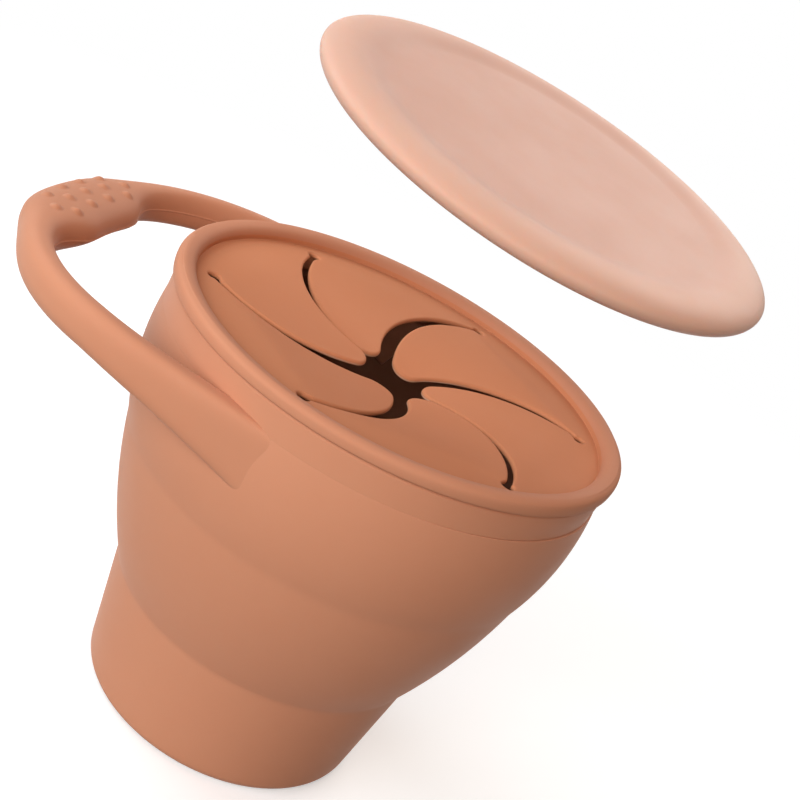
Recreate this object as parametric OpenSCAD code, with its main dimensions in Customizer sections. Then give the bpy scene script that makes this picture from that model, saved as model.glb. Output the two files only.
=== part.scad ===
// Collapsible toddler snack cup: silicone cup with a side handle, a push-on lid whose
// web is cut into six swirling petals, and a loose dust cover held above it.
// The origin is the middle of the underside, +Z is up and the handle points to -X.

/* [Cup] */
// Outer diameter of the underside
base_d = 58.4; // [54:0.2:60]
// Height of the bottom tier, up to the lower fold
base_h = 25; // [22:0.5:27]
// Outer diameter at the lower fold
low_fold_d = 65.6; // [64:0.2:67]
// Height of the band that turns inside out when the cup is pressed flat
band_h = 29; // [27:0.5:31]
// Outer diameter at the upper fold
high_fold_d = 85.3; // [84:0.2:87]
// Height of the upper wall, from the upper fold to the shoulder that the lid meets
upper_h = 23; // [21:0.5:26]
// Outer diameter of the wall at the shoulder
rim_d = 90.2; // [89:0.2:91.4]
// Thickness of the bottom tier and of the upper wall
wall = 2.4; // [2:0.1:2.8]
// Thickness of the band between the folds
band_wall = 1.2; // [0.8:0.1:1.6]
// Thickness of the floor
floor_t = 2.6; // [2:0.1:4]
// Outward bulge of the band
band_bulge = 0.9; // [0:0.1:1.6]
// Outward bulge of the upper wall
upper_bulge = 1.2; // [0.4:0.1:1.6]
// Radius round the foot of the cup
foot_r = 2.2; // [1:0.1:3]
// Height of the tongue that stands up into the lid
tongue_h = 4.4; // [3.5:0.1:5]
// Thickness of the tongue
tongue_t = 1.9; // [1.5:0.1:2]

/* [Snack lid] */
// Outer diameter of the round bead on the lid's edge
bead_d = 92; // [91.6:0.2:94]
// Thickness of the bead
bead_t = 4.76; // [4.4:0.1:5.2]
// Thickness of the lid's outer skirt
skirt_t = 1.4; // [1.2:0.1:1.6]
// Height of the skirt, from the shoulder of the cup to the middle of the bead
skirt_h = 7.33; // [6.8:0.1:8.5]
// Thickness of the lid's inner lip
lip_t = 1.4; // [1:0.1:1.8]
// Depth of the inner lip below the web
lip_h = 3.2; // [2:0.1:4]
// Thickness of the web and of its petals
web_t = 1.1; // [0.9:0.05:1.5]
// Drop of the web's top face below the middle of the bead
web_drop = 0.8; // [0.3:0.1:1.2]
// Distance from the middle of the lid to the outer end of each slit
slit_end_r = 38.2; // [37:0.1:38.3]
// Radius of the curve that each slit follows
slit_curve_r = 25.1; // [23:0.1:30]
// Width of each slit at its outer end
slit_w = 0.9; // [0.6:0.1:1.2]
// Angle by which each slit widens from its outer end inwards, on each side
slit_flare = 2; // [1:0.1:2.5]
// Radius of the hole at the outer end of each slit
relief_r = 1.35; // [1:0.05:1.45]
// Mean slope of the petals at rest, down towards the middle
petal_slope = 9; // [7:0.5:10]
// Extra slope of each of the six petals, as the soft web settles
petal_sag = [4, -1.5, -3.5, 0, 0.5, 1.5];
// Distance from the middle of the lid to the centre of each petal's round nose
nose_at = 10; // [9:0.1:11]
// Turn of the lid on the cup, from +X to the end of the first slit
lid_turn = 19.5; // [0:0.1:60]

/* [Handle] */
// Reach of the handle's middle line, from the cup's axis
handle_reach = 69.9; // [66:0.1:74]
// Distance from the cup's axis to where the handle starts to curve round
handle_bend_x = 29.4; // [29:0.1:34]
// Spread of the handle's middle line, to each side of the cup's axis
handle_spread = 43.4; // [43:0.1:43.8]
// Squareness of the loop: 2 is an ellipse
loop_power = 2.2; // [2:0.05:2.6]
// Height of the handle's middle line above the underside
handle_z = 75.9; // [75:0.1:77]
// Height of the strap
strap_h = 7.9; // [7:0.1:9]
// Thickness of the strap
strap_t = 5.2; // [4.6:0.1:5.8]
// Height of the thumb pad
pad_h = 8.7; // [8:0.1:10]
// Thickness of the thumb pad
pad_t = 14.6; // [12:0.1:16]
// Half length of the thumb pad
pad_half = 16; // [14:0.5:18]
// Shift of the thumb pad towards the cup
pad_shift = 1.9; // [1:0.1:2.6]
// Extra height of the strap where it joins the cup
root_grow = 4.9; // [3.5:0.1:5.5]
// Drop of the strap's middle line where it joins the cup
root_drop = 5; // [4:0.1:5.5]
// Distance from the cup's axis to where the strap starts to grow towards its root
root_start_x = 44; // [40:0.5:48]
// Distance from the cup's axis to the end of the root on the wall
root_end_x = 5.5; // [4:0.5:8]
// Inward turn of the root's end onto the wall
root_tuck = 1.5; // [1:0.1:1.7]
// Lean of the root's end, sideways run for each millimetre of height
root_lean = 0.4; // [0:0.05:0.5]
// Distance from the cup's axis to the line that the handle flexes about
flex_x = 27; // [26:0.1:28.5]
// Pitch of the grip bumps along the handle
bump_pitch = 6.9; // [6:0.1:7.5]
// Distance between the rows of grip bumps
bump_row = 3.4; // [3:0.1:3.8]
// Radius of each grip bump
bump_r = 1.1; // [0.8:0.1:1.3]

/* [Dust cover] */
// Outer diameter of the cover
cover_d = 92; // [91:0.2:94]
// Height of the cover's crown above its widest line
crown_h = 2.8; // [2.2:0.1:3.4]
// Width of the round shoulder between the crown and the edge
shoulder_w = 10; // [8:0.5:12]
// Depth of the cover's edge below its widest line
edge_drop = 2.2; // [1.8:0.1:2.6]
// Thickness of the cover's sunk middle panel
panel_t = 1.6; // [1.2:0.1:2.2]
// Depth of the panel below the cover's crown
panel_drop = 0.8; // [0.4:0.1:1.2]
// Thickness of the ring that locates the cover inside the bead
ring_t = 1.5; // [1.2:0.1:2]
// Depth of the groove that sits on the bead
groove_d = 0.8; // [0.6:0.1:1.2]
// Lift of the cover above its seat
cover_lift = 39.6; // [30:0.1:45]
// Sideways shift of the lifted cover, along X
cover_shift_x = 5.6; // [0:0.1:8]
// Sideways shift of the lifted cover, along Y
cover_shift_y = 5; // [0:0.1:8]
// Tilt of the lifted cover
cover_tilt = 6.4; // [0:0.1:8]
// Direction in which the lifted cover leans
cover_lean = -45.5; // [-90:0.1:90]

/* [Clearances] */
// Gap between the upper wall and the fold band
fold_gap = 0.3; // [0.2:0.05:0.5]
// Gap all round the tongue in the lid
lid_gap = 0.2; // [0.15:0.05:0.3]
// Gap round each petal's hinge bead and round the handle's flex barrels
hinge_gap = 0.2; // [0.15:0.05:0.3]
// Gap between the seated cover and the bead
seat_gap = 0.15; // [0.1:0.05:0.3]
// Gap between the cover's locating ring and the inside of the bead
ring_gap = 0.5; // [0.4:0.05:0.8]

/* [Hidden] */
$fn = 96;
clay = [0.80, 0.52, 0.39];
clay_light = [0.85, 0.60, 0.48];
blush = [0.90, 0.74, 0.67];

// heights of the folds, of the shoulder and of the bead, above the underside
high_fold_z = base_h + band_h;
shoulder_z = high_fold_z + upper_h;
bead_z = shoulder_z + skirt_h;

// radii of the rim: the skirt is flush with the wall, and the tongue stands inside it
rim_r = rim_d / 2;
skirt_in_r = rim_r - skirt_t;
tongue_r = skirt_in_r - lid_gap;
tongue_in_r = tongue_r - tongue_t;
tongue_z = shoulder_z + tongue_h;
lip_r = tongue_in_r - lid_gap;
bead_r = bead_t / 2;
bead_mid_r = bead_d / 2 - bead_r;
web_z = bead_z - web_drop;

// petals: there are six, so each hinge line is one side of a hexagon
petal_turn = 60;
hinge_r = slit_end_r * cos(petal_turn / 2);
hinge_half = slit_end_r * sin(petal_turn / 2);
slit_bend = acos(slit_end_r / (2 * slit_curve_r));
pin_proud = 0.05;
bead_pin_r = web_t / 2 + pin_proud;
nose_proud = 0.05;
sliver_run = 6;
web_overrun = 3;
pin_end_gap = 0.2;
cut_over = 1;
pin_stop = relief_r + slit_w + pin_end_gap;
// the two edges of a petal are arcs about these centres, which swing with the flare
edge_out = [slit_curve_r - slit_w / 2, slit_curve_r + slit_w / 2];
edge_mid = [edge_centre(1), edge_centre(-1)];
nose_turn = even_turn(0, petal_turn);
nose_mid = nose_at * [cos(nose_turn), sin(nose_turn)];
nose_r = edge_out[0] - norm(nose_mid - edge_mid[0]) + nose_proud;

// handle
run_share = 0.8;
ring_n = 16;
bump_sink = 0.35;
long_row = 5;
section_power = 0.8;
root_power_cut = 0.4;
flex_z = handle_z - root_drop * root_share(-flex_x);
barrel_inset = 0.3;
bore_len = 3 * strap_t;
bump_facets = 14;
loop_past_flex = 2;
root_top_gap = 0.1;
root_side_gap = 0.5;
barrel_r = (strap_h + root_grow * root_share(-flex_x)) / 2 - barrel_inset;

// cover
cover_r = cover_d / 2;
edge_round = 2.5;
shoulder_from = 9;
shoulder_steps = 9;
dip_w = 3;
ring_r = bead_mid_r - bead_r - ring_gap;
ring_drop = 1.2;
seat_z = bead_z + bead_r + seat_gap + edge_drop - groove_d;

// points of a curve from a to b that bulges by the given amount, as a parabola
function bulged(a, b, amount, n = 8) =
    let (d = b - a, side = [d[1], -d[0]] / norm(d))
    [for (i = [0:n]) a + d * i / n + side * amount * 4 * i / n * (1 - i / n)];

// points of a round corner of the given radii about a centre
function corner(c, rx, ry, from, to, n = 6) =
    [for (i = [0:n]) let (t = from + (to - from) * i / n) c + [rx * cos(t), ry * sin(t)]];

// centre of the arc along one side of a petal: it swings about the slit's outer end
function edge_centre(side) =
    let (end = slit_end_r * [cos(petal_turn / 2), side * sin(petal_turn / 2)],
         a = side * petal_turn / 2 - slit_bend,
         out = slit_curve_r * [cos(a), sin(a)] - end,
         f = side * slit_flare)
    end + [out[0] * cos(f) - out[1] * sin(f), out[0] * sin(f) + out[1] * cos(f)];

// direction of the nose's centre, as far from one edge as from the other, found by halving
function edge_miss(a) =
    let (c = nose_at * [cos(a), sin(a)])
    edge_out[0] - norm(c - edge_mid[0]) - (norm(c - edge_mid[1]) - edge_out[1]);
function even_turn(low, high) =
    let (mid = (low + high) / 2)
    high - low < 0.01 ? mid : edge_miss(mid) > 0 ? even_turn(mid, high) : even_turn(low, mid);

function backwards(list) = [for (i = [len(list) - 1:-1:0]) list[i]];
function soft_power(x, p) = sign(x) * pow(abs(x), p);
function clamp01(x) = min(1, max(0, x));

// how much of the root's extra height a place on the handle has, by its distance from the cup
function root_share(x) = pow(clamp01((x + root_start_x) / (root_start_x - root_end_x)), 1.5);

// how much of the thumb pad's swelling a place on the handle has
function pad_share(y) = 1 / (1 + pow(abs(y) / pad_half, 6));

// middle line of the handle in plan: straight runs, then half of a superellipse
function loop_point(t) =
    let (u = min(abs(t) / run_share, 1) * 90, side = sign(t),
         run = max(0, (abs(t) - run_share) / (1 - run_share)),
         bow = handle_reach - handle_bend_x)
    [-handle_bend_x - bow * soft_power(cos(u), 2 / loop_power) + run * (handle_bend_x - root_end_x),
     side * (handle_spread * soft_power(sin(u), 2 / loop_power)
         - root_tuck * pow(run, 3) * (3 - 2 * run))];

// share of the loop at which a straight run passes the given distance from the cup's axis
function loop_share(x) =
    run_share + (1 - run_share) * (handle_bend_x - x) / (handle_bend_x - root_end_x);

function outward(t) =
    let (d = loop_point(t + 0.004) - loop_point(t - 0.004))
    [-d[1], d[0]] / norm(d);

// one section of the handle: a soft oblong, swollen at the pad and taller at the root
function loop_section(t) =
    let (p = loop_point(t), o = outward(t), pad = pad_share(p[1]), root = root_share(p[0]),
         half_t = (strap_t + (pad_t - strap_t) * pad) / 2,
         half_h = (strap_h + (pad_h - strap_h) * pad + root_grow * root) / 2,
         z = handle_z - root_drop * root,
         power = section_power - root_power_cut * root)
    [for (i = [0:ring_n - 1]) let (a = 360 * i / ring_n,
         off = half_t * soft_power(cos(a), power) - pad_shift * pad,
         up = half_h * soft_power(sin(a), power))
     [p[0] + o[0] * off + root_lean * root * up, p[1] + o[1] * off, z + up]];

// a closed skin over a list of sections
module skin(rings) {
    n = len(rings[0]);
    last = len(rings) - 1;
    points = [for (r = rings) for (p = r) p];
    sides = [for (j = [0:last - 1]) for (i = [0:n - 1])
        let (a = j * n + i, b = j * n + (i + 1) % n) each [[a, b + n, b], [a, a + n, b + n]]];
    ends = [[for (i = [0:n - 1]) i], [for (i = [n - 1:-1:0]) last * n + i]];
    polyhedron(points = points, faces = concat(sides, ends), convexity = 6);
}

module base_cup() {
    foot = corner([base_d / 2 - foot_r, foot_r], foot_r, foot_r, -90, 0);
    outside = concat([[0, 0]], foot, [[low_fold_d / 2, base_h]]);
    inside = concat([[low_fold_d / 2 - wall, base_h]],
        corner([base_d / 2 - wall - foot_r, floor_t + foot_r], foot_r, foot_r, 0, -90),
        [[0, floor_t]]);
    color(clay) rotate_extrude() polygon(concat(outside, inside));
}

module fold_band() {
    low = [low_fold_d / 2, base_h];
    high = [high_fold_d / 2, high_fold_z - fold_gap];
    outside = bulged(low, high, band_bulge);
    inside = bulged(low - [band_wall, 0], high - [band_wall, 0], band_bulge);
    color(clay) rotate_extrude() polygon(concat(outside, backwards(inside)));
}

module upper_shell() {
    outside = bulged([high_fold_d / 2, high_fold_z], [rim_r, shoulder_z], upper_bulge);
    tongue = [[tongue_r, shoulder_z], [tongue_r, tongue_z],
              [tongue_in_r, tongue_z], [tongue_in_r, shoulder_z]];
    inside = bulged([high_fold_d / 2 - wall, high_fold_z], [rim_r - wall, shoulder_z - wall],
                    upper_bulge);
    rotate_extrude() polygon(concat(outside, tongue, backwards(inside)));
}

// the two stretches of strap that run onto the wall, left hollow for the flex barrels
module handle_roots() {
    start = 1;
    stop = loop_share(flex_x);
    steps = 8;
    for (side = [-1, 1]) difference() {
        skin([for (i = [0:steps]) let (k = side < 0 ? i : steps - i)
            loop_section(side * (start + (stop - start) * k / steps))]);
        cylinder(r = skirt_in_r, h = 2 * bead_z);
        translate([0, 0, shoulder_z - root_top_gap]) cylinder(r = rim_r + root_side_gap, h = bead_z);
        translate([-flex_x, side * handle_spread, flex_z]) rotate([90, 0, 0])
            cylinder(r = barrel_r + hinge_gap, h = bore_len, center = true);
    }
}

module upper_wall() {
    color(clay) {
        upper_shell();
        handle_roots();
    }
}

module grip_bumps() {
    pad_top = handle_z + pad_h / 2 - bump_sink;
    for (row = [-1:1]) {
        count = row == 0 ? long_row : long_row - 1;
        for (i = [0:count - 1]) {
            y = (i - (count - 1) / 2) * bump_pitch;
            t = run_share * asin(pow(abs(y) / handle_spread, loop_power / 2)) / 90 * sign(y);
            p = loop_point(t);
            translate([p[0] + pad_shift - row * bump_row, p[1], pad_top])
                sphere(r = bump_r, $fn = bump_facets);
        }
    }
}

module handle_loop() {
    stop = loop_share(flex_x + loop_past_flex);
    steps = 48;
    color(clay_light) {
        skin([for (i = [0:steps]) loop_section(stop * (2 * i / steps - 1))]);
        for (side = [-1, 1]) translate([-flex_x, side * handle_spread, flex_z]) rotate([90, 0, 0])
            cylinder(r = barrel_r, h = strap_t - barrel_inset, center = true);
        grip_bumps();
    }
}

module lid_ring() {
    groove_z = tongue_z + lid_gap;
    skirt_z = shoulder_z + lid_gap;
    color(clay) difference() {
        rotate_extrude() union() {
            translate([bead_mid_r, bead_z]) circle(r = bead_r);
            translate([skirt_in_r, skirt_z]) square([skirt_t, bead_z - skirt_z]);
            translate([lip_r - lip_t, web_z - web_t - lip_h]) square([lip_t, web_t + lip_h]);
            translate([lip_r - lip_t, groove_z]) square([rim_r - lip_r + lip_t, web_z - groove_z]);
            translate([hinge_r - web_overrun, web_z - web_t])
                square([bead_mid_r - hinge_r + web_overrun, web_t]);
        }
        rotate([0, 0, lid_turn]) {
            translate([0, 0, web_z - web_t - cut_over])
                cylinder(r = slit_end_r, h = web_t + 2 * cut_over, $fn = 6);
            for (k = [0:5]) rotate([0, 0, k * petal_turn]) {
                translate([slit_end_r, 0, web_z - web_t - cut_over])
                    cylinder(r = relief_r, h = web_t + 2 * cut_over);
                rotate([0, 0, petal_turn / 2]) translate([hinge_r, 0, web_z - web_t / 2])
                    rotate([90, 0, 0])
                        cylinder(r = bead_pin_r + hinge_gap, h = 2 * hinge_half, center = true);
            }
        }
    }
}

// one petal, flat in plan: it lies between two slits and ends in a round nose
module petal_plate() {
    half = web_t / 2;
    difference() {
        intersection() {
            translate(edge_mid[0]) cylinder(r = edge_out[0], h = web_t, center = true);
            translate([0, -hinge_half, -half]) cube([hinge_r, 2 * slit_end_r, web_t]);
        }
        translate(edge_mid[1]) cylinder(r = edge_out[1], h = 2 * web_t, center = true);
        for (side = [-1, 1]) rotate([0, 0, side * petal_turn / 2]) translate([slit_end_r, 0, 0])
            cylinder(r = relief_r + slit_w, h = 2 * web_t, center = true);
        difference() {
            cylinder(r = nose_at, h = 2 * web_t, center = true);
            translate(nose_mid) cylinder(r = nose_r, h = 3 * web_t, center = true);
        }
    }
}

module petal(k) {
    pin_len = 2 * hinge_half - sliver_run - pin_stop;
    color(clay_light) rotate([0, 0, lid_turn + (k - 0.5) * petal_turn])
        translate([hinge_r, 0, web_z - web_t / 2]) rotate([0, -petal_slope - petal_sag[k - 1], 0]) {
            translate([-hinge_r, 0, 0]) petal_plate();
            translate([0, (sliver_run - pin_stop) / 2, 0]) rotate([90, 0, 0])
                cylinder(r = bead_pin_r, h = pin_len, center = true);
        }
}

module cover_body() {
    crown_r = cover_r - shoulder_w;
    panel_r = crown_r - dip_w;
    panel_z = crown_h - panel_drop;
    edge = corner([cover_r - edge_round, 0], edge_round, edge_drop, -90, 0);
    shoulder = corner([crown_r, 0], shoulder_w, crown_h, shoulder_from, 90, shoulder_steps);
    top = [[panel_r + dip_w / 2, crown_h - panel_drop / 2], [panel_r, panel_z], [0, panel_z]];
    under = [[0, panel_z - panel_t], [ring_r - ring_t, panel_z - panel_t],
             [ring_r - ring_t, -edge_drop - ring_drop], [ring_r, -edge_drop - ring_drop],
             [ring_r, -edge_drop]];
    difference() {
        rotate_extrude() polygon(concat(edge, shoulder, top, under));
        rotate_extrude() translate([bead_mid_r, groove_d - edge_drop - bead_r]) circle(r = bead_r);
    }
}

module dust_cover() {
    color(blush) translate([cover_shift_x, cover_shift_y, seat_z + cover_lift])
        rotate([0, 0, cover_lean]) rotate([0, cover_tilt, 0]) cover_body();
}

base_cup();
fold_band();
upper_wall();
handle_loop();
lid_ring();
petal(1);  // petal_1
petal(2);  // petal_2
petal(3);  // petal_3
petal(4);  // petal_4
petal(5);  // petal_5
petal(6);  // petal_6
dust_cover();
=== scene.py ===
# Collapsible silicone snack cup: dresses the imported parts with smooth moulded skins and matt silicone.
import math
import bpy
import bmesh
import numpy as np
from mathutils import Matrix, Vector


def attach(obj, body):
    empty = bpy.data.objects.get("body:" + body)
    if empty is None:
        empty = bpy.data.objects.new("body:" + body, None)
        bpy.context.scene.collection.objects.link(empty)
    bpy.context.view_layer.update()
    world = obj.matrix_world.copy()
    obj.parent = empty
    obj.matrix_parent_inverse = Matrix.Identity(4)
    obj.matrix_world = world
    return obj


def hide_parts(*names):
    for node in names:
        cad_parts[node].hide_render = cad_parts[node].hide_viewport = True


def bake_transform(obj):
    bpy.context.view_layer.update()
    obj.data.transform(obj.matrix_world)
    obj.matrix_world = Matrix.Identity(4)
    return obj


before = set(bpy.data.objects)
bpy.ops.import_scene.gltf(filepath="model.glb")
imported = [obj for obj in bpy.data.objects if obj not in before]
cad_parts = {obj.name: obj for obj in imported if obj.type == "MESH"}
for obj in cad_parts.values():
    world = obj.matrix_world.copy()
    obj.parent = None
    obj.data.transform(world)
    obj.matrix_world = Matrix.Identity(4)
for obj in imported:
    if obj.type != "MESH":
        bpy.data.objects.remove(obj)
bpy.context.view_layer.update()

mm = 0.001
tiny = 1e-6


# small tools for lines and grids

# points of an ellipse arc: centre + (rx cos a, ry sin a), with the angle a running evenly between two ends
def arcLine(centre, rx, ry, fromDeg, toDeg, steps=12):
    a = np.radians(np.linspace(fromDeg, toDeg, steps + 1))
    return np.stack([centre[0] + rx * np.cos(a), centre[1] + ry * np.sin(a)], axis=1)


# a straight line from one point to another that bulges sideways as a parabola, 4 s (1 - s) times the bulge
def bulgedLine(start, end, bulge, steps=24):
    start, end = np.array(start, float), np.array(end, float)
    s = np.linspace(0, 1, steps + 1)[:, None]
    side = np.array([end[1] - start[1], start[0] - end[0]]) / np.linalg.norm(end - start)
    return start + (end - start) * s + side * bulge * 4 * s * (1 - s)


# the same line with no bulge
def straight(start, end, steps=1):
    return bulgedLine(start, end, 0, steps)


# the line cut back by a length at its end, measured along it
def trimEnd(line, cut):
    step = np.linalg.norm(np.diff(line, axis=0), axis=1)
    run = np.concatenate([[0], np.cumsum(step)])
    stop = run[-1] - cut
    last = [np.interp(stop, run, line[:, 0]), np.interp(stop, run, line[:, 1])]
    return np.vstack([line[run < stop - tiny], last])


# two lines that meet in a corner, joined by a quadratic curve that leaves each line a reach before the corner
def softJoin(first, second, reach, steps=8):
    second = np.array(second, float)
    corner = second[0]
    a = trimEnd(np.array(first, float), reach)
    b = trimEnd(second[::-1], reach)[::-1]
    s = np.linspace(0, 1, steps + 1)[1:-1, None]
    curve = a[-1] * (1 - s) ** 2 + corner * 2 * s * (1 - s) + b[0] * s ** 2
    return np.vstack([a, curve, b])


# a chain of corners, each with its own rounding reach
def softChain(line, corners):
    for reach, point in corners:
        line = softJoin(line, straight(line[-1], point), reach)
    return line


# a profile in (radius, height) carried round the Z axis: x = r cos a, y = r sin a
def turned(profile, turns=240):
    a = np.linspace(0, 2 * np.pi, turns, endpoint=False)[:, None]
    r, z = profile[:, 0][None, :], profile[:, 1][None, :]
    return np.stack([r * np.cos(a), r * np.sin(a), z + 0 * a], axis=2)


# quads over a grid of points, as vertex numbers; a closed direction also joins its last line to its first
def gridFaces(rows, cols, closeRows, closeCols):
    index = np.arange(rows * cols).reshape(rows, cols)
    nextRow = np.roll(index, -1, axis=0)
    nextCol = np.roll(index, -1, axis=1)
    both = np.roll(nextRow, -1, axis=1)
    quads = np.stack([index, nextCol, both, nextRow], axis=2)
    quads = quads[:rows if closeRows else rows - 1, :cols if closeCols else cols - 1]
    return quads.reshape(-1, 4)


# distances in metres under which points and edges are merged, and the degrees above which an edge is sharp
weld = {"points": 2e-6, "edges": 1e-6, "sharp": 55}


# a mesh object from grid points in millimetres, welded, with its normals turned outwards
def pieceFromGrid(name, grid, closeRows=False, closeCols=False, extraFaces=None, accent=None):
    rows, cols = grid.shape[:2]
    points = grid.reshape(-1, 3) * mm
    faces = gridFaces(rows, cols, closeRows, closeCols)
    if extraFaces is not None:
        faces = np.vstack([faces, extraFaces])
    mesh = bpy.data.meshes.new(name)
    mesh.from_pydata(points.tolist(), [], faces.tolist())
    layer = mesh.attributes.new("accent", "FLOAT", "POINT")
    values = np.zeros(len(points)) if accent is None else accent.reshape(-1)
    layer.data.foreach_set("value", values.astype(np.float32))
    work = bmesh.new()
    work.from_mesh(mesh)
    bmesh.ops.remove_doubles(work, verts=work.verts, dist=weld["points"])
    bmesh.ops.dissolve_degenerate(work, edges=work.edges, dist=weld["edges"])
    bmesh.ops.recalc_face_normals(work, faces=work.faces)
    work.to_mesh(mesh)
    work.free()
    mesh.polygons.foreach_set("use_smooth", np.ones(len(mesh.polygons), bool))
    mesh.set_sharp_from_angle(angle=math.radians(weld["sharp"]))
    mesh.update()
    piece = bpy.data.objects.new(name, mesh)
    bpy.context.scene.collection.objects.link(piece)
    return piece


# the smooth step 3 x^2 - 2 x^3, held at 0 and 1 outside its range
def smoothStep(x):
    x = np.clip(x, 0, 1)
    return x * x * (3 - 2 * x)


# a power that keeps the sign, for superellipse sections
def softPower(x, power):
    return np.sign(x) * np.abs(x) ** power


# the cup: floor, bottom tier, fold band, upper wall and tongue in one skin

cup = {
    # bottom tier, fold band and upper wall: heights, and outer radii at the folds and the shoulder
    "baseR": 29.2, "baseH": 25.0, "lowFoldR": 32.8, "bandH": 29.0, "highFoldR": 42.5, "upperH": 23.0,
    "rimR": 45.1, "bandBulge": 1.05, "upperBulge": 1.35,
    "wall": 2.4, "bandWall": 1.2, "floorT": 2.6,
    # the tongue that the lid grips, and where the inside line steps in at the folds
    "tongueR": 43.5, "tongueT": 1.9, "tongueH": 4.4, "ledgeUp": 1.5, "ledgeLow": 1.0, "innerLow": 0.6,
    # rounding at each corner of the section
    "footRound": 2.2, "lowFoldSoft": 0.8, "highFoldSoft": 1.2, "shoulderSoft": 0.08,
    "tongueSoft": 0.3, "tipSoft": 0.6, "innerSoft": 0.5, "ledgeSoft": 0.9, "bandSoft": 0.6, "tierSoft": 0.7,
    "turns": 256,
}


# outside line from the middle of the underside up to the tongue, then the inside line back down to the floor
def cupProfile(c):
    highZ = c["baseH"] + c["bandH"]
    topZ = highZ + c["upperH"]
    low, high, rim = (c["lowFoldR"], c["baseH"]), (c["highFoldR"], highZ), (c["rimR"], topZ)
    line = straight((0, 0), (c["baseR"], 0))
    line = softJoin(line, straight((c["baseR"], 0), low, steps=12), c["footRound"], steps=12)
    line = softJoin(line, bulgedLine(low, high, c["bandBulge"], steps=48), c["lowFoldSoft"], steps=10)
    line = softJoin(line, bulgedLine(high, rim, c["upperBulge"], steps=32), c["highFoldSoft"], steps=16)
    tongueIn = c["tongueR"] - c["tongueT"]
    innerTop = (c["rimR"] - c["wall"], topZ - c["wall"])
    line = softChain(line, [(c["shoulderSoft"], (c["tongueR"], topZ)),
                            (c["tongueSoft"], (c["tongueR"], topZ + c["tongueH"])),
                            (c["tipSoft"], (tongueIn, topZ + c["tongueH"])),
                            (c["tipSoft"], (tongueIn, topZ)),
                            (c["tongueSoft"], innerTop)])
    innerHigh = (c["highFoldR"] - c["wall"], highZ)
    line = softJoin(line, bulgedLine(innerTop, innerHigh, -c["upperBulge"]), c["innerSoft"])
    ledgeHigh = (c["highFoldR"] - c["bandWall"], highZ - c["ledgeUp"])
    line = softJoin(line, straight(innerHigh, ledgeHigh), c["ledgeSoft"])
    ledgeLow = (c["lowFoldR"] - c["bandWall"], c["baseH"] + c["ledgeLow"])
    line = softJoin(line, bulgedLine(ledgeHigh, ledgeLow, -c["bandBulge"], steps=40), c["bandSoft"])
    inR = c["baseR"] - c["wall"]
    innerLow = (c["lowFoldR"] - c["wall"], c["baseH"] - c["innerLow"])
    line = softJoin(line, straight(ledgeLow, innerLow), c["tierSoft"])
    line = softJoin(line, straight(innerLow, (inR, c["floorT"]), steps=8), c["tierSoft"])
    return softJoin(line, straight((inR, c["floorT"]), (0, c["floorT"])), c["footRound"], steps=10)


def buildCup():
    line = cupProfile(cup)
    # painted shade: past the top of the tongue the line runs down the inside, which is painted in the deeper
    # accent tone to stand in for the shade inside the cup
    inside = np.arange(len(line)) > np.argmax(line[:, 1])
    accent = np.tile(inside, (cup["turns"], 1))
    piece = pieceFromGrid("cup_skin", turned(line, cup["turns"]), closeRows=True, accent=accent)
    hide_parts("base_cup", "fold_band", "upper_wall")
    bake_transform(piece)
    return piece


# the handle: one swept skin with its thumb pad, grip bumps and two roots

handle = {
    # plan of the loop: how far it reaches, where it starts to bend, its half width, its sideways hang
    "reach": 69.9, "bendX": 29.4, "spread": 43.4, "power": 2.2, "z": 75.9, "runShare": 0.8, "skew": 2.2,
    # sections of the strap and the thumb pad; a share is of the loop, each way
    "strapH": 7.9, "strapT": 5.2, "padH": 8.7, "padT": 14.6, "padHalf": 16.0, "padShift": 1.9,
    "padShare": 0.40, "padFade": 6, "padTone": 0.3, "square": 0.8, "undercut": 0.6, "underRise": 3,
    # how the section grows, drops, leans and squares up into the wall
    "rootGrow": 4.9, "rootDrop": 5.0, "rootStart": 44.0, "rootEnd": 5.5, "rootTuck": 1.5, "rootLean": 0.4,
    "rootSquare": 0.45, "rootPower": 1.5,
    # moulding seam along the inner face, as wide as an angle in radians, and the grip bumps in three rows
    "seamRidge": 0.16, "seamWidth": 0.018,
    "bumpPitch": 6.9, "bumpRow": 3.4, "bumpR": 1.28, "bumpTall": 0.6, "bumpOut": 0.8, "bumpPower": 1.2,
    "bumpCounts": (4, 5, 4),
    # rows along the loop, the step that gives its direction, and columns round the section, as runs of
    # (from, to, count) in degrees: fine over the bumps and finer still at the seam
    "strapRows": 130, "padRows": 210, "near": 0.002,
    "columns": ((25, 155, 76), (157, 177, 8), (178, 182, 13), (183, 383, 65)),
}


# middle line in plan: straight runs beside the cup, then half of a superellipse round the pad
def loopPoint(t, h):
    share = np.clip(np.abs(t) / h["runShare"], 0, 1)
    u = share * np.pi / 2
    run = np.clip((np.abs(t) - h["runShare"]) / (1 - h["runShare"]), 0, None)
    bow = h["reach"] - h["bendX"]
    x = -h["bendX"] - bow * np.cos(u).clip(0) ** (2 / h["power"]) + run * (h["bendX"] - h["rootEnd"])
    y = np.sign(t) * (h["spread"] * np.sin(u) ** (2 / h["power"]) - h["rootTuck"] * smoothStep(run) * run)
    # the soft loop hangs a little to one side
    return np.stack([x, y - h["skew"] * np.cos(u) ** 2], axis=-1)


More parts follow.
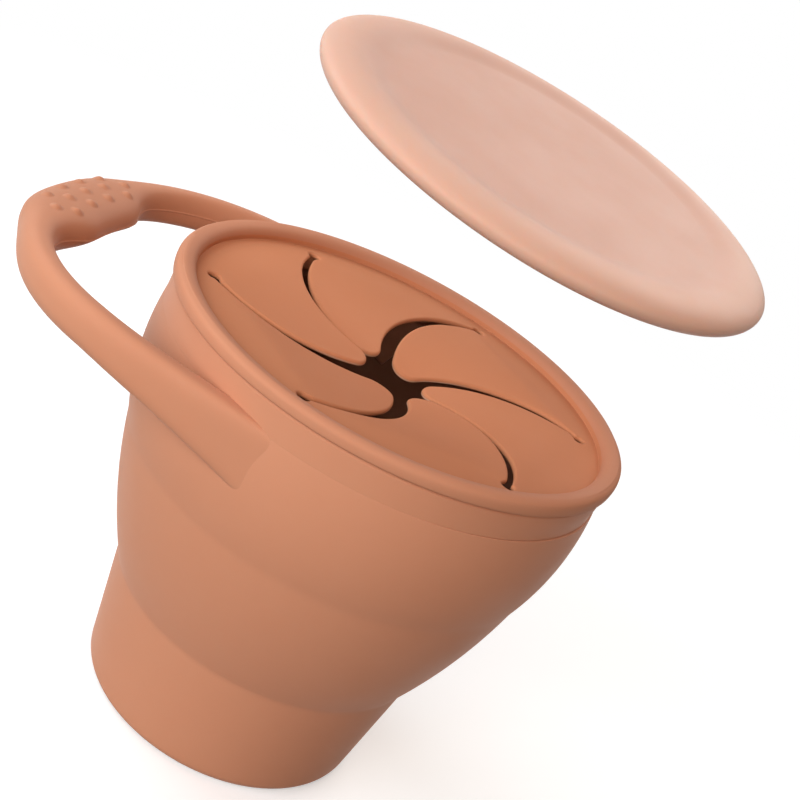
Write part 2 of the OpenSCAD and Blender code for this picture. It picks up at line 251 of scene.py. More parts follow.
# height added by the grip bumps: each is a dome, a power of 1 - d^2, with d the distance in bump radii
def bumpHeight(x, y, h):
    rise = np.zeros_like(x)
    for row, count in zip((-1, 0, 1), h["bumpCounts"]):
        for i in range(count):
            by = (i - (count - 1) / 2) * h["bumpPitch"]
            u = np.arcsin((abs(by) / h["spread"]) ** (h["power"] / 2))
            bow = h["reach"] - h["bendX"]
            bx = -h["bendX"] - bow * np.cos(u) ** (2 / h["power"])
            bx = bx + h["padShift"] - h["bumpOut"] - row * h["bumpRow"]
            d2 = ((x - bx) ** 2 + (y - by + h["skew"]) ** 2) / h["bumpR"] ** 2
            rise += h["bumpTall"] * np.clip(1 - d2, 0, 1) ** h["bumpPower"]
    return rise


# a superellipse section at each point of the loop: half width times cos^p across, half height times sin^p up
def buildHandle():
    h = handle
    edge, strapRows = h["padShare"], h["strapRows"]
    t = np.concatenate([np.linspace(-1, -edge, strapRows)[:-1], np.linspace(-edge, edge, h["padRows"]),
                        np.linspace(edge, 1, strapRows)[1:]])[:, None]
    angle = np.radians(np.concatenate([np.linspace(*columns) for columns in h["columns"]]))[None, :]
    middle = loopPoint(t, h)
    run = loopPoint(t + h["near"], h) - loopPoint(t - h["near"], h)
    out = np.stack([-run[..., 1], run[..., 0]], axis=-1) / np.linalg.norm(run, axis=-1)[..., None]
    x, y = middle[..., 0], middle[..., 1]
    pad = 1 / (1 + (np.abs(y + h["skew"]) / h["padHalf"]) ** h["padFade"])
    root = np.clip((x + h["rootStart"]) / (h["rootStart"] - h["rootEnd"]), 0, 1) ** h["rootPower"]
    halfT = (h["strapT"] + (h["padT"] - h["strapT"]) * pad) / 2
    halfH = (h["strapH"] + (h["padH"] - h["strapH"]) * pad + h["rootGrow"] * root) / 2
    # the section grows squarer towards the root, and the pad is cut back under its inner edge
    under = smoothStep(np.clip(-np.cos(angle), 0, 1) * h["underRise"]) * (np.sin(angle) < 0)
    power = h["square"] - h["rootSquare"] * root + h["undercut"] * pad * under
    seam = h["seamRidge"] * np.exp(-((angle - np.pi) / h["seamWidth"]) ** 2)
    across = halfT * softPower(np.cos(angle), power) - h["padShift"] * pad - seam
    up = halfH * softPower(np.sin(angle), power)
    px = x + out[..., 0] * across + h["rootLean"] * root * up
    py = y + out[..., 1] * across
    pz = h["z"] - h["rootDrop"] * root + up
    pz = pz + bumpHeight(px, py, h) * (np.sin(angle) > 0)
    grid = np.stack([px, py, pz], axis=-1)
    rows, cols = grid.shape[:2]
    # each end is closed by quads from side to side
    caps = []
    half = cols // 2
    for row, turn in ((0, 1), (rows - 1, -1)):
        a = row * cols + np.arange(half - 1)
        b = row * cols + cols - 1 - np.arange(half - 1)
        caps.append(np.stack([a, a + 1, b - 1, b], axis=1)[:, ::turn])
    # the textured pad is a shade deeper than the strap
    tone = np.tile(h["padTone"] * pad, (1, cols))
    piece = pieceFromGrid("handle_skin", grid, closeCols=True, extraFaces=np.vstack(caps), accent=tone)
    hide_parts("handle_loop")
    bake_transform(piece)
    return piece


# the snack lid: bead, skirt, inner lip and the flat rim of the web

lid = {
    # bead: outer face, top corner, crease to the web, chin, and how far it sags and to which side
    "faceR": 46.0, "topR": 44.4, "topZ": 84.82, "topWide": 1.6, "topTall": 1.28, "topFrom": 105, "topTo": 8,
    "flankBulge": 0.8, "creaseR": 42.1, "beadLowZ": 82.5, "chinIn": 0.25, "chinUp": 0.3, "chinBulge": 0.12,
    "sag": 0.7, "sagTurn": -92.0, "sagPower": 8, "sagRun": 2.6,
    # notch between the bead and the skirt, deepest at its turn
    "notchIn": 0.3, "notchH": 0.45, "notchEdge": 0.02, "notchTurn": -70.0, "notchPower": 3,
    # skirt, and how it stands off the shoulder round its turn
    "rimR": 45.1, "skirtT": 1.4, "skirtEndZ": 77.0, "skirtGap": 0.22, "skirtTuck": 0.12, "skirtInset": 0.35,
    "gapTurn": 5.0, "gapPower": 4, "lowFrom": 1.5, "lowPower": 4,
    # groove for the tongue, inner lip and flat rim of the web
    "grooveZ": 81.6, "lipR": 41.4, "lipT": 1.4, "lipH": 3.2, "webT": 1.1, "webZ": 83.53, "webR": 39.8,
    # rounding at each corner of the section
    "creaseSoft": 0.25, "beadSoft": 0.3, "chinSoft": 0.35, "notchSoft": 0.08, "skirtTopSoft": 0.1,
    "skirtSoft": 0.06, "grooveSoft": 0.3, "lipSoft": 0.4, "lipInSoft": 0.5, "webSoft": 0.08,
    "turns": 256,
}


# the bead: an inner flank up from the web, a round top corner, then a face that bulges out over the skirt
def lidProfile(d):
    z = d["webZ"]
    top = arcLine((d["topR"], d["topZ"]), d["topWide"], d["topTall"], d["topFrom"], d["topTo"], steps=24)
    flank = bulgedLine((d["creaseR"], z), top[0], -d["flankBulge"], steps=16)
    line = softJoin(straight((d["webR"], z), (d["creaseR"], z)), flank, d["creaseSoft"])
    line = softJoin(line, top, d["beadSoft"])
    chinOut = (d["faceR"] - d["chinIn"], d["beadLowZ"] + d["chinUp"])
    line = softJoin(line, bulgedLine(top[-1], chinOut, -d["chinBulge"], steps=12), d["beadSoft"])
    # a fine notch under the bead marks it off from the skirt
    line = softChain(line, [(d["chinSoft"], (d["rimR"] - d["notchIn"], d["beadLowZ"])),
                            (d["notchSoft"], (d["rimR"], d["beadLowZ"] - d["notchH"]))])
    skirtIn = d["rimR"] - d["skirtT"]
    lipIn = d["lipR"] - d["lipT"]
    lipZ = z - d["webT"] - d["lipH"]
    line = softJoin(line, straight(line[-1], (d["rimR"], d["skirtEndZ"]), steps=12), d["skirtTopSoft"])
    return softChain(line, [(d["skirtSoft"], (skirtIn, d["skirtEndZ"])),
                            (d["grooveSoft"], (skirtIn, d["grooveZ"])),
                            (d["lipSoft"], (d["lipR"], d["grooveZ"])),
                            (d["lipSoft"], (d["lipR"], lipZ)),
                            (d["lipInSoft"], (lipIn, lipZ)),
                            (d["lipInSoft"], (lipIn, z - d["webT"])),
                            (d["webSoft"], (d["webR"], z - d["webT"]))])


# share from 0 to 1 round the rim: 1 at the given turn, then a power of a raised cosine, 0 on the far side
def turnShare(points, turnDeg, power):
    a = np.arctan2(points[..., 1], points[..., 0]) - math.radians(turnDeg)
    return (0.5 + 0.5 * np.cos(a)) ** power


def buildLid():
    d = lid
    grid = turned(lidProfile(d), d["turns"])
    # the soft bead sags a little over the front, and the skirt sits in and up from the shoulder on one side
    above = smoothStep((grid[..., 2] - d["webZ"]) / d["sagRun"])
    grid[..., 2] -= d["sag"] * above * turnShare(grid, d["sagTurn"], d["sagPower"])
    lowTop = d["beadLowZ"] - d["lowFrom"]
    low = smoothStep((lowTop - grid[..., 2]) / (lowTop - d["skirtEndZ"]))
    side = turnShare(grid, d["gapTurn"], d["gapPower"])
    away = np.linalg.norm(grid[..., :2], axis=2)
    outer = smoothStep((away - d["rimR"] + d["skirtT"]) / d["skirtT"])
    # the notch is deepest at the front and closes round the back
    inNotch = (away < d["rimR"] - d["notchEdge"]) & (away > d["rimR"] - 2 * d["notchIn"])
    inNotch &= grid[..., 2] > d["beadLowZ"] - d["notchH"]
    fill = (d["rimR"] - away) * inNotch * (1 - turnShare(grid, d["notchTurn"], d["notchPower"]))
    grid[..., :2] *= (1 + fill / away)[..., None]
    grid[..., :2] *= (1 - d["skirtInset"] * outer * low * side / away)[..., None]
    grid[..., 2] += (d["skirtGap"] * side - d["skirtTuck"] * (1 - side) ** 2) * low ** d["lowPower"]
    piece = pieceFromGrid("lid_rim_skin", grid, closeRows=True, closeCols=True)
    # the skirt is finished like the cup, the bead a little duller, and the web inside the crease duller still
    centre = np.empty(len(piece.data.polygons) * 3, np.float32)
    piece.data.polygons.foreach_get("center", centre)
    centre = centre.reshape(-1, 3).astype(float)
    inWeb = np.linalg.norm(centre[:, :2], axis=1) < d["creaseR"] * mm
    inBead = centre[:, 2] > (d["beadLowZ"] - d["notchH"]) * mm
    piece.data.polygons.foreach_set("material_index", np.where(inWeb, 2, inBead).astype(np.int32))
    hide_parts("lid_ring")
    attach(piece, "lid")
    return piece


# the six petals: sectors of the web between two curved slits, sloping down to a round nose

petal = {
    # plan: six sectors, the slits' arc, width and flare, their relief holes, and where the nose sits
    "count": 6, "turn": 19.5, "curveR": 25.1, "slitW": 0.95, "flare": 2.1, "endR": 38.2, "reliefR": 1.2,
    "outerR": 39.8, "noseAt": 10.0,
    # section, the rounding of its edges, and the painted highlight on the underside edge near the nose
    "thick": 1.1, "topZ": 83.53, "edgeSoft": 0.5,
    "highlightWidth": 0.4, "highlightFrom": 22.0, "highlightRun": 8.0, "highlightTone": 0.6,
    # hinge line, the run over which the bend grows, and where the skin goes over to the moving body
    "hingeR": 33.0, "bendFrom": -1.0, "bendTo": 4.2, "blendOut": 3.0, "blendIn": 5.0,
    # each petal's slope in degrees and its sideways twist
    "slope": (13.8, 7.0, 4.4, 8.8, 10.0, 10.6), "twist": (0.22, 0.02, 0.0, 0.06, 0.16, 0.08),
    "twistRun": 25.0, "twistMost": 1.2,
    # counts and ends of the grid's rows and columns
    "acrossCount": 56, "holeTo": 160, "holeCount": 26, "slitCount": 70, "noseCount": 26, "chordFrom": -0.6,
    "runLine": (-12, 40, 1041), "halvings": 40,
}


# centre and radius of the arc along one side of a petal: it swings about the slit's outer end by the flare
def edgeArc(p, side):
    half = math.pi / p["count"]
    end = p["endR"] * np.array([math.cos(half), side * math.sin(half)])
    a = side * half - math.acos(p["endR"] / (2 * p["curveR"]))
    out = p["curveR"] * np.array([math.cos(a), math.sin(a)]) - end
    f = side * math.radians(p["flare"])
    swungX = out[0] * math.cos(f) - out[1] * math.sin(f)
    swungY = out[0] * math.sin(f) + out[1] * math.cos(f)
    return end + np.array([swungX, swungY]), p["curveR"] - side * p["slitW"] / 2


# angle at which an arc passes a given distance from the lid's middle, by the law of cosines
def arcAngle(r, centre, radius):
    away = np.linalg.norm(centre)
    cosine = (r ** 2 + away ** 2 - radius ** 2) / (2 * r * away)
    return math.atan2(centre[1], centre[0]) + np.arccos(np.clip(cosine, -1, 1))


# the round nose touches both arcs: its centre is found by halving, then its radius and two touching points
def noseCircle(p):
    (nearMid, nearR), (farMid, farR) = edgeArc(p, 1), edgeArc(p, -1)
    low, high = 0.0, math.radians(360 / p["count"])
    for _ in range(p["halvings"]):
        a = (low + high) / 2
        c = p["noseAt"] * np.array([math.cos(a), math.sin(a)])
        miss = nearR - np.linalg.norm(c - nearMid) - (np.linalg.norm(c - farMid) - farR)
        low, high = (a, high) if miss > 0 else (low, a)
    r = nearR - np.linalg.norm(c - nearMid)
    touch = [m + (c - m) / np.linalg.norm(c - m) * big for m, big in ((nearMid, nearR), (farMid, farR))]
    return c, r, touch


# plan of one petal as rows between its two edges: relief hole, slit, then the nose, which closes at its tip
def petalPlan(p, u):
    half = math.pi / p["count"]
    arcs = edgeArc(p, 1), edgeArc(p, -1)
    nose, noseR, touch = noseCircle(p)
    hole = p["endR"] + p["reliefR"] * np.cos(np.radians(np.linspace(0, p["holeTo"], p["holeCount"])))
    sides = []
    for side, (centre, radius), point in zip((1, -1), arcs, touch):
        slit = np.linspace(hole[-1], np.linalg.norm(point), p["slitCount"])[1:]
        r = np.concatenate([[p["outerR"], (p["outerR"] + hole[0]) / 2], hole, slit])
        # half the angle that the relief hole takes at each radius, and the slit's edge further in
        holeTurn = np.arcsin(np.sqrt(np.clip(p["reliefR"] ** 2 - (r - p["endR"]) ** 2, 0, None)) / r)
        edge = side * arcAngle(r, centre, radius)
        beside = half - holeTurn
        turn = np.where(r > p["endR"], beside, np.where(holeTurn > 0, np.minimum(edge, beside), edge))
        sides.append((r, side * turn))
    (leftR, leftTurn), (rightR, rightTurn) = sides
    r = leftR[:, None] * (1 - u) + rightR[:, None] * u
    angle = leftTurn[:, None] * (1 - u) + rightTurn[:, None] * u
    bent = np.stack([r * np.cos(angle), r * np.sin(angle)], axis=2)
    level = bent[:, :1] * (1 - u)[None, :, None] + bent[:, -1:] * u[None, :, None]
    # rows bend round the middle far out, and straighten into chords where they reach the nose
    share = smoothStep(np.linspace(p["chordFrom"], 1, len(leftR)))[:, None, None]
    fan = bent * (1 - share) + level * share
    a0, a1 = (math.atan2(t[1] - nose[1], t[0] - nose[0]) for t in touch)
    sweep = (a1 - a0) % (2 * math.pi)
    g = np.linspace(0, 0.5, p["noseCount"])[1:, None]
    ends = [np.concatenate([np.cos(a), np.sin(a)], axis=1) for a in (a0 + sweep * g, a1 - sweep * g)]
    chords = ends[0][:, None, :] * (1 - u)[None, :, None] + ends[1][:, None, :] * u[None, :, None]
    return np.vstack([fan, nose + noseR * chords]), nose, noseR, a0 + sweep / 2, sweep / 2


def buildPetal(number):
    p = petal
    u = (1 - np.cos(np.linspace(0, np.pi, p["acrossCount"]))) / 2
    plan, nose, noseR, noseTurn, noseHalf = petalPlan(p, u)
    # distance in from the free edge: the least of those to both slits, both relief holes and the nose
    half = math.radians(180 / p["count"])
    away = plan - nose
    turnOff = (np.arctan2(away[..., 1], away[..., 0]) - noseTurn + np.pi) % (2 * np.pi) - np.pi
    atNose = np.abs(turnOff) < noseHalf
    inside = [np.where(atNose, noseR - np.linalg.norm(away, axis=2), np.inf)]
    for side in (1, -1):
        centre, radius = edgeArc(p, side)
        d = side * (radius - np.linalg.norm(plan - centre, axis=2))
        inside.append(np.where(atNose | (np.linalg.norm(plan, axis=2) > p["endR"]), np.inf, d))
        hole = p["endR"] * np.array([math.cos(half), side * math.sin(half)])
        inside.append(np.linalg.norm(plan - hole, axis=2) - p["reliefR"])
    depth = np.clip(np.min(inside, axis=0), 0, None)
    e = p["edgeSoft"]
    rounding = e * (1 - np.sqrt(1 - (1 - np.clip(depth / e, 0, 1)) ** 2))
    # the web bends down along the hinge line: the slope grows by a smooth step, and its sum gives the drop
    s = np.linspace(*p["runLine"])
    slope = math.radians(p["slope"][number - 1])
    tilt = slope * smoothStep((s - p["bendFrom"]) / (p["bendTo"] - p["bendFrom"]))
    step = s[1] - s[0]
    dropAt = np.cumsum(np.sin(tilt)) * step
    runAt = s[0] + np.cumsum(np.cos(tilt)) * step - step
    along = p["hingeR"] - plan[..., 0]
    lift = p["twist"][number - 1] * plan[..., 1] * np.clip(along / p["twistRun"], 0, p["twistMost"])
    drop = np.interp(along, s, dropAt) - lift
    x = p["hingeR"] - np.interp(along, s, runAt)
    topZ = p["topZ"] - drop - rounding
    lowZ = p["topZ"] - p["thick"] - drop + rounding
    turn = math.radians(p["turn"] + (number - 0.5) * 360 / p["count"])
    wx = x * math.cos(turn) - plan[..., 1] * math.sin(turn)
    wy = x * math.sin(turn) + plan[..., 1] * math.cos(turn)
    topGrid = np.stack([wx, wy, topZ], axis=2)
    lowGrid = np.stack([wx, wy, lowZ], axis=2)[:, ::-1]
    grid = np.concatenate([topGrid, lowGrid], axis=1)
    edge = 1 - smoothStep(depth / p["highlightWidth"])
    # painted highlight: only the underside's edge near the nose is painted a paler tone, as if it caught the
    # light
    tip = smoothStep((p["highlightFrom"] - np.linalg.norm(plan, axis=2)) / p["highlightRun"])
    accent = np.concatenate([0 * edge, p["highlightTone"] * (edge * tip)[:, ::-1]], axis=1)
    cols = grid.shape[1]
    a = np.arange(cols // 2 - 1)
    cap = np.stack([a, a + 1, cols - 2 - a, cols - 1 - a], axis=1)
    piece = pieceFromGrid("petal_skin_%d" % number, grid, closeCols=True, extraFaces=cap, accent=accent)
    body = "petal_%d" % number
    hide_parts(body)
    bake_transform(piece)
    return piece


# the dust cover: a soft-edged disc with a shallow dished panel, tilted over the lid

cover = {
    # crown, shoulder and edge, the dip to the sunk panel, and the radii over which its painted shade deepens
    "r": 46.0, "crownH": 2.52, "shoulderW": 6.5, "edgeDrop": 2.2, "edgeRound": 2.5,
    "dipW": 6.0, "dipCount": 17, "panelDrop": 0.8, "panelT": 1.6, "panelShadeFrom": 36.0, "panelShadeTo": 43.5,
    # the groove that sits on the bead, and the locating ring
    "grooveMid": 43.62, "grooveR": 2.38, "grooveD": 0.8, "ringR": 40.74, "ringT": 1.5, "ringDrop": 0.5,
    # rounding at each corner of the section
    "ringTopSoft": 0.2, "ringSoft": 0.05, "ringInSoft": 0.4, "panelSoft": 0.8,
    # its place over the lid: a shift, a tilt about Y, and a turn about Z by the lean
    "lift": (5.6, 5.0, 127.86), "tilt": 6.4, "lean": -45.5,
    "turns": 240,
}


# the cover's section: panel, dip, quarter-round shoulder and edge, the bead's groove, ring, and the underside
def coverProfile(c):
    crownR = c["r"] - c["shoulderW"]
    panelR = crownR - c["dipW"]
    panelZ = c["crownH"] - c["panelDrop"]
    # the dished panel falls from the crown by a smooth step over the dip's width
    s = np.linspace(0, 1, c["dipCount"])
    dip = np.stack([panelR + c["dipW"] * s, panelZ + c["panelDrop"] * smoothStep(s)], axis=1)
    line = np.vstack([straight((0, panelZ), (panelR, panelZ), steps=10)[:-1], dip])
    shoulder = arcLine((crownR, 0), c["shoulderW"], c["crownH"], 90, 0, steps=24)
    edge = arcLine((c["r"] - c["edgeRound"], 0), c["edgeRound"], c["edgeDrop"], 0, -90, steps=40)
    # the bead's groove cuts into the underside of the edge, from where the two arcs cross
    gz = c["grooveD"] - c["edgeDrop"] - c["grooveR"]
    edge = edge[np.hypot(edge[:, 0] - c["grooveMid"], edge[:, 1] - gz) > c["grooveR"]]
    start = math.degrees(math.atan2(edge[-1, 1] - gz, edge[-1, 0] - c["grooveMid"]))
    reach = math.degrees(math.acos((-c["edgeDrop"] - gz) / c["grooveR"]))
    groove = arcLine((c["grooveMid"], gz), c["grooveR"], c["grooveR"], start, 90 + reach, steps=14)
    # then a locating ring, and back in under the panel
    low = -c["edgeDrop"]
    line = np.vstack([line, shoulder[1:], edge[1:], groove[1:]])
    ringIn = c["ringR"] - c["ringT"]
    return softChain(line, [(c["ringTopSoft"], (c["ringR"], low)),
                            (c["ringSoft"], (c["ringR"], low - c["ringDrop"])),
                            (c["ringInSoft"], (ringIn, low - c["ringDrop"])),
                            (c["ringInSoft"], (ringIn, panelZ - c["panelT"])),
                            (c["panelSoft"], (0, panelZ - c["panelT"]))])


def buildCover():
    c = cover
    grid = turned(coverProfile(c), c["turns"])
    # painted shade: the thin dished panel lets light through, so it is painted a shade deeper than the thick
    # edge
    away = np.linalg.norm(grid[..., :2], axis=2)
    accent = 1 - smoothStep((away - c["panelShadeFrom"]) / (c["panelShadeTo"] - c["panelShadeFrom"]))
    tilt = Matrix.Rotation(math.radians(c["lean"]), 3, "Z") @ Matrix.Rotation(math.radians(c["tilt"]), 3, "Y")
    grid = grid @ np.array(tilt).T + np.array(c["lift"])
    piece = pieceFromGrid("cover_skin", grid, closeRows=True, accent=accent)
    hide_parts("dust_cover")
    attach(piece, "cover")
    return piece


# silicone finishes

# a display colour, 0 to 1 per channel, as the linear value that a shader takes
def linear(colour):
    c = np.array(colour, float)
    return tuple(np.where(c <= 0.04045, c / 12.92, ((c + 0.055) / 1.055) ** 2.4)) + (1.0,)


# noise in the silicone: its scale, detail and roughness, the two levels between which it is spread out,
# and its share in a sum, or the range of roughness that it adds
patterns = {
    "broad": {"noise": (38, 2, 0.5), "levels": (0.35, 0.68), "share": 0.7},
    "fine": {"noise": (420, 4, 0.6), "levels": (0.35, 0.7), "share": 0.3},
    "smudge": {"noise": (60, 3, 0.6), "levels": (0.35, 0.7), "rough": (-0.04, 0.05)},
    "coarse": {"noise": (700, 3, 0.5), "share": 0.6},
    "grain": {"noise": (3200, 2, 0.6)},
}


# node group: soft mottling, an accent colour where its mask asks (painted shade inside the cup and on the
# cover's panel, a painted highlight on the petals' edges, a deeper tone on the handle's pad), and a fine
# moulded grain
def siliconeGroup():
    group = bpy.data.node_groups.new("mouldedSilicone", "ShaderNodeTree")
    face = group.interface
    for name, kind, value in (("Base", "NodeSocketColor", (0.5, 0.2, 0.1, 1)),
                              ("Deep", "NodeSocketColor", (0.4, 0.15, 0.08, 1)),
                              ("Accent", "NodeSocketColor", (0.8, 0.6, 0.5, 1)),
                              ("Accent Mask", "NodeSocketFloat", 0.0),
                              ("Mottle", "NodeSocketFloat", 0.3),
                              ("Roughness", "NodeSocketFloat", 0.55),
                              ("Grain", "NodeSocketFloat", 0.5)):
        socket = face.new_socket(name=name, in_out="INPUT", socket_type=kind)
        socket.default_value = value
    for name, kind in (("Color", "NodeSocketColor"), ("Roughness", "NodeSocketFloat"),
                       ("Height", "NodeSocketFloat")):
        face.new_socket(name=name, in_out="OUTPUT", socket_type=kind)
    nodes, links = group.nodes, group.links
    start = nodes.new("NodeGroupInput")
    end = nodes.new("NodeGroupOutput")
    place = nodes.new("ShaderNodeTexCoord")

    def noise(name):
        node = nodes.new("ShaderNodeTexNoise")
        for key, value in zip(("Scale", "Detail", "Roughness"), patterns[name]["noise"]):
            node.inputs[key].default_value = value
        links.new(place.outputs["Object"], node.inputs["Vector"])
        return node.outputs["Fac"]

    def spread(name, low=0.0, high=1.0):
        node = nodes.new("ShaderNodeMapRange")
        levels = (*patterns[name]["levels"], low, high)
        for key, value in zip(("From Min", "From Max", "To Min", "To Max"), levels):
            node.inputs[key].default_value = value
        links.new(noise(name), node.inputs["Value"])
        return node.outputs["Result"]

    def mixColour(factor, a, b):
        node = nodes.new("ShaderNodeMix")
        node.data_type = "RGBA"
        links.new(factor, node.inputs["Factor"])
        links.new(a, node.inputs[6])
        links.new(b, node.inputs[7])
        return node.outputs[2]

    def maths(kind, a, b):
        node = nodes.new("ShaderNodeMath")
        node.operation = kind
        for slot, value in zip(node.inputs, (a, b)):
            if isinstance(value, float):
                slot.default_value = value
            else:
                links.new(value, slot)
        return node.outputs[0]

    broad, fine = (maths("MULTIPLY", spread(name), patterns[name]["share"]) for name in ("broad", "fine"))
    mottle = maths("MULTIPLY", maths("ADD", broad, fine), start.outputs["Mottle"])
    toned = mixColour(mottle, start.outputs["Base"], start.outputs["Deep"])
    links.new(mixColour(start.outputs["Accent Mask"], toned, start.outputs["Accent"]), end.inputs["Color"])
    smudge = spread("smudge", *patterns["smudge"]["rough"])
    links.new(maths("ADD", start.outputs["Roughness"], smudge), end.inputs["Roughness"])
    coarse = maths("MULTIPLY", noise("coarse"), patterns["coarse"]["share"])
    grain = maths("ADD", noise("grain"), coarse)
    links.new(maths("MULTIPLY", grain, start.outputs["Grain"]), end.inputs["Height"])
    return group


finishes = {
    "cupFinish": {
        # the accent is the painted shade for the cup's inside; the handle's pad mixes in a share of it
        "base": (0.777, 0.530, 0.409), "deep": (0.755, 0.501, 0.379), "accent": (0.64, 0.43, 0.325),
        "rough": 0.50, "gloss": 0.08, "sheen": 0.12, "scatter": 0.08, "reach": 0.003},
    "rimFinish": {
        "base": (0.775, 0.529, 0.409), "deep": (0.753, 0.500, 0.379), "accent": (0.84, 0.66, 0.56),
        "rough": 0.55, "gloss": 0.05, "sheen": 0.02, "scatter": 0.08, "reach": 0.003},
    "webFinish": {
        # the accent is the painted highlight on the petals' underside edge near the nose
        "base": (0.785, 0.512, 0.368), "deep": (0.762, 0.483, 0.341), "accent": (0.84, 0.66, 0.56),
        "rough": 0.60, "gloss": 0.04, "sheen": 0.0, "scatter": 0.08, "reach": 0.003},
    "coverFinish": {
        "base": (0.815, 0.640, 0.558), "deep": (0.800, 0.618, 0.533), "accent": (0.752, 0.570, 0.494),
        # the accent is the painted shade of the thin dished panel
        "rough": 0.50, "gloss": 0.20, "sheen": 0.06, "scatter": 0.50, "reach": 0.006},
}

# what every silicone finish shares
silicone = {
    "bump": 0.35, "bumpDepth": 0.00004, "ior": 1.41, "sheenRough": 0.45, "sheenTint": (0.93, 0.80, 0.75),
    "scatterRadius": (1.0, 0.45, 0.28),
}


def siliconeMaterial(name, f, group):
    material = bpy.data.materials.new(name)
    material.use_nodes = True
    nodes, links = material.node_tree.nodes, material.node_tree.links
    shader = nodes["Principled BSDF"]
    body = nodes.new("ShaderNodeGroup")
    body.node_tree = group
    body.inputs["Base"].default_value = linear(f["base"])
    body.inputs["Deep"].default_value = linear(f["deep"])
    body.inputs["Accent"].default_value = linear(f["accent"])
    body.inputs["Roughness"].default_value = f["rough"]
    accent = nodes.new("ShaderNodeAttribute")
    accent.attribute_name = "accent"
    links.new(accent.outputs["Fac"], body.inputs["Accent Mask"])
    bump = nodes.new("ShaderNodeBump")
    bump.inputs["Strength"].default_value = silicone["bump"]
    bump.inputs["Distance"].default_value = silicone["bumpDepth"]
    links.new(body.outputs["Height"], bump.inputs["Height"])
    links.new(body.outputs["Color"], shader.inputs["Base Color"])
    links.new(body.outputs["Roughness"], shader.inputs["Roughness"])
    links.new(bump.outputs["Normal"], shader.inputs["Normal"])
    shader.inputs["IOR"].default_value = silicone["ior"]
    shader.inputs["Specular IOR Level"].default_value = f["gloss"]
    shader.inputs["Sheen Weight"].default_value = f["sheen"]
    shader.inputs["Sheen Roughness"].default_value = silicone["sheenRough"]
    shader.inputs["Sheen Tint"].default_value = linear(silicone["sheenTint"])
    shader.inputs["Subsurface Weight"].default_value = f["scatter"]
    shader.inputs["Subsurface Radius"].default_value = silicone["scatterRadius"]
    shader.inputs["Subsurface Scale"].default_value = f["reach"]
    return material


# stage, lamps and camera

stage = {
    # floor: size in metres, tones that the camera and the bounced light see, and where it fades to white
    "floorSize": 3.0, "floorLines": 13, "floorTone": 0.82, "bounceTone": 0.2, "floorLift": 0.35,
    "floorRough": 0.9, "fadeFrom": 0.12, "fadeTo": 0.42,
    # camera
    "eye": (0.02863, -0.24941, 0.17877), "elevation": 22.23, "roll": 29.22, "azimuth": 5.8,
    "lens": 64.49, "sensor": 36, "clip": (0.01, 20),
    # light from all round, and what the lamps share
    "worldTone": (0.137, 0.115, 0.103), "lampAim": (0, 0, 0.07), "lampAway": 1.4, "lampSize": 1.05,
}

# each lamp: where it shines from, as (image right, image up, towards the camera), its watts and its colour
lamps = {
    "keyLamp": {"from": (-0.55, 0.35, 0.75), "power": 11.9, "tint": (0.98, 1.12, 1.22)},
    "topLamp": {"from": (-0.30, 0.85, 0.00), "power": 8.4, "tint": (1.0, 1.10, 1.20)},
    "frontLamp": {"from": (0.00, 0.10, 1.00), "power": 13.0, "tint": (1.0, 0.91, 0.83)},
    "backLamp": {"from": (0.60, 0.60, -0.50), "power": 8.7, "tint": (1.0, 0.91, 0.83)},
}


# camera axes: level right, up and back at the elevation, rolled about the view, then turned about Z
def cameraAxes(s):
    e, roll, turn = (math.radians(s[k]) for k in ("elevation", "roll", "azimuth"))
    right, up = Vector((1, 0, 0)), Vector((0, math.sin(e), math.cos(e)))
    back = Vector((0, -math.cos(e), math.sin(e)))
    x = math.cos(roll) * right + math.sin(roll) * up
    y = -math.sin(roll) * right + math.cos(roll) * up
    spin = Matrix.Rotation(turn, 3, "Z")
    return spin @ x, spin @ y, spin @ back


def buildCamera():
    x, y, back = cameraAxes(stage)
    data = bpy.data.cameras.new("viewCamera")
    data.lens = stage["lens"]
    data.sensor_width = stage["sensor"]
    data.clip_start, data.clip_end = stage["clip"]
    camera = bpy.data.objects.new("viewCamera", data)
    place = Matrix((x, y, back)).transposed().to_4x4()
    place.translation = Vector(stage["eye"])
    camera.matrix_world = place
    bpy.context.scene.collection.objects.link(camera)
    bpy.context.scene.camera = camera


def buildLamps():
    x, y, back = cameraAxes(stage)
    aim = Vector(stage["lampAim"])
    for name, lamp in lamps.items():
        a, b, c = lamp["from"]
        way = (x * a + y * b + back * c).normalized()
        data = bpy.data.lights.new(name, "AREA")
        data.shape = "DISK"
        data.size = stage["lampSize"]
        data.energy = lamp["power"]
        data.color = lamp["tint"]
        light = bpy.data.objects.new(name, data)
        light.location = aim + way * stage["lampAway"]
        light.rotation_euler = way.to_track_quat("Z", "Y").to_euler()
        bpy.context.scene.collection.objects.link(light)


# what the camera and mirror-like rays see, as 1 or 0
def seenRay(nodes, links):
    path = nodes.new("ShaderNodeLightPath")
    first, both = nodes.new("ShaderNodeMath"), nodes.new("ShaderNodeMath")
    for node in (first, both):
        node.operation = "MAXIMUM"
    links.new(path.outputs["Is Camera Ray"], first.inputs[0])
    links.new(path.outputs["Is Glossy Ray"], first.inputs[1])
    links.new(first.outputs[0], both.inputs[0])
    links.new(path.outputs["Is Transmission Ray"], both.inputs[1])
    return both.outputs[0]


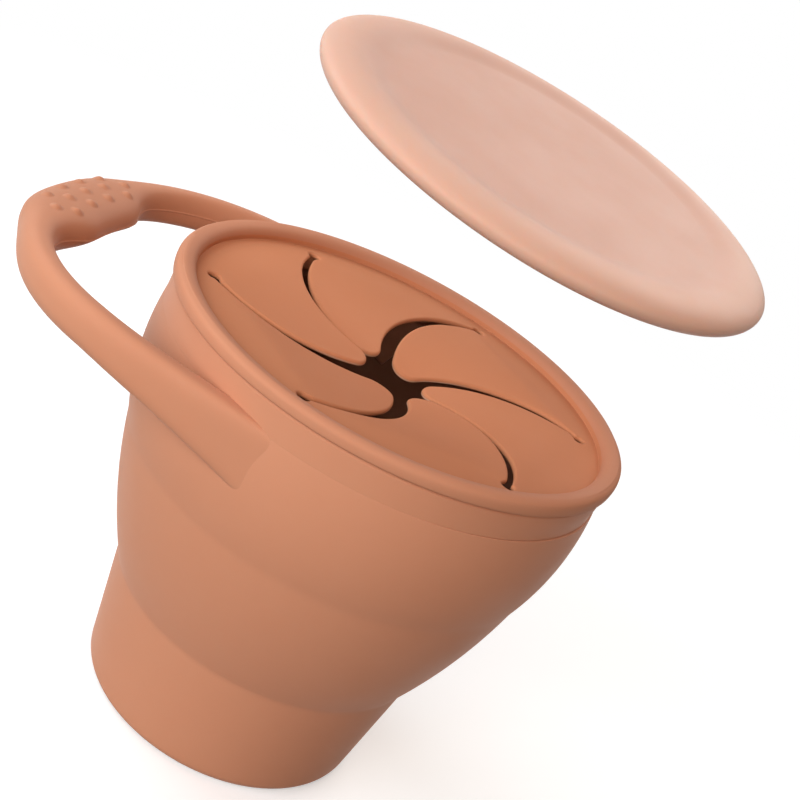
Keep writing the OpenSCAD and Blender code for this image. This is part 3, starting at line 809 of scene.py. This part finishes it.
# a pale floor that keeps the shadow near the cup, and fades to plain white further out
def buildFloor():
    half = stage["floorSize"] / 2
    ticks = np.linspace(-half, half, stage["floorLines"])
    x, y = np.meshgrid(ticks, ticks, indexing="ij")
    grid = np.stack([x, y, 0 * x], axis=2) / mm
    floor = pieceFromGrid("floor", grid)
    material = bpy.data.materials.new("paleFloor")
    material.use_nodes = True
    nodes, links = material.node_tree.nodes, material.node_tree.links
    shader = nodes["Principled BSDF"]
    seen = seenRay(nodes, links)
    tone = nodes.new("ShaderNodeMapRange")
    tone.inputs["To Min"].default_value = stage["bounceTone"]
    tone.inputs["To Max"].default_value = stage["floorTone"]
    links.new(seen, tone.inputs["Value"])
    links.new(tone.outputs["Result"], shader.inputs["Base Color"])
    shader.inputs["Roughness"].default_value = stage["floorRough"]
    shader.inputs["Specular IOR Level"].default_value = 0.0
    lift = nodes.new("ShaderNodeMath")
    lift.operation = "MULTIPLY"
    lift.inputs[1].default_value = stage["floorLift"]
    links.new(seen, lift.inputs[0])
    shader.inputs["Emission Color"].default_value = (1, 1, 1, 1)
    links.new(lift.outputs[0], shader.inputs["Emission Strength"])
    place = nodes.new("ShaderNodeTexCoord")
    away = nodes.new("ShaderNodeVectorMath")
    away.operation = "LENGTH"
    links.new(place.outputs["Object"], away.inputs[0])
    fade = nodes.new("ShaderNodeMapRange")
    fade.interpolation_type = "SMOOTHSTEP"
    fade.inputs["From Min"].default_value = stage["fadeFrom"]
    fade.inputs["From Max"].default_value = stage["fadeTo"]
    links.new(away.outputs["Value"], fade.inputs["Value"])
    share = nodes.new("ShaderNodeMath")
    share.operation = "MULTIPLY"
    links.new(fade.outputs["Result"], share.inputs[0])
    links.new(seen, share.inputs[1])
    glow = nodes.new("ShaderNodeEmission")
    mix = nodes.new("ShaderNodeMixShader")
    links.new(share.outputs[0], mix.inputs["Fac"])
    links.new(shader.outputs[0], mix.inputs[1])
    links.new(glow.outputs[0], mix.inputs[2])
    links.new(mix.outputs[0], nodes["Material Output"].inputs["Surface"])
    floor.data.materials.append(material)


def buildWorld():
    world = bpy.data.worlds.new("studioWorld")
    bpy.context.scene.world = world
    world.use_nodes = True
    nodes, links = world.node_tree.nodes, world.node_tree.links
    nodes.clear()
    out = nodes.new("ShaderNodeOutputWorld")
    soft, white = nodes.new("ShaderNodeBackground"), nodes.new("ShaderNodeBackground")
    soft.inputs["Color"].default_value = stage["worldTone"] + (1,)
    white.inputs["Color"].default_value = (1, 1, 1, 1)
    mix = nodes.new("ShaderNodeMixShader")
    links.new(seenRay(nodes, links), mix.inputs["Fac"])
    links.new(soft.outputs[0], mix.inputs[1])
    links.new(white.outputs[0], mix.inputs[2])
    links.new(mix.outputs[0], out.inputs["Surface"])


# build everything

buildCamera()
buildLamps()
buildWorld()
buildFloor()
bpy.context.scene.view_settings.view_transform = "Standard"
print("stage: camera, %d lamps, floor and world" % len(lamps))

group = siliconeGroup()
finish = {name: siliconeMaterial(name, values, group) for name, values in finishes.items()}
print("finishes: %s" % ", ".join(finish))

# each piece with the finishes of its material slots, in order
dressed = [(buildCup(), ["cupFinish"]), (buildHandle(), ["cupFinish"])]
dressed += [(buildLid(), ["cupFinish", "rimFinish", "webFinish"])]
dressed += [(buildPetal(k), ["webFinish"]) for k in range(1, petal["count"] + 1)]
dressed += [(buildCover(), ["coverFinish"])]
for piece, names in dressed:
    for name in names:
        piece.data.materials.append(finish[name])
    print("piece: %s, %d faces" % (piece.name, len(piece.data.polygons)))
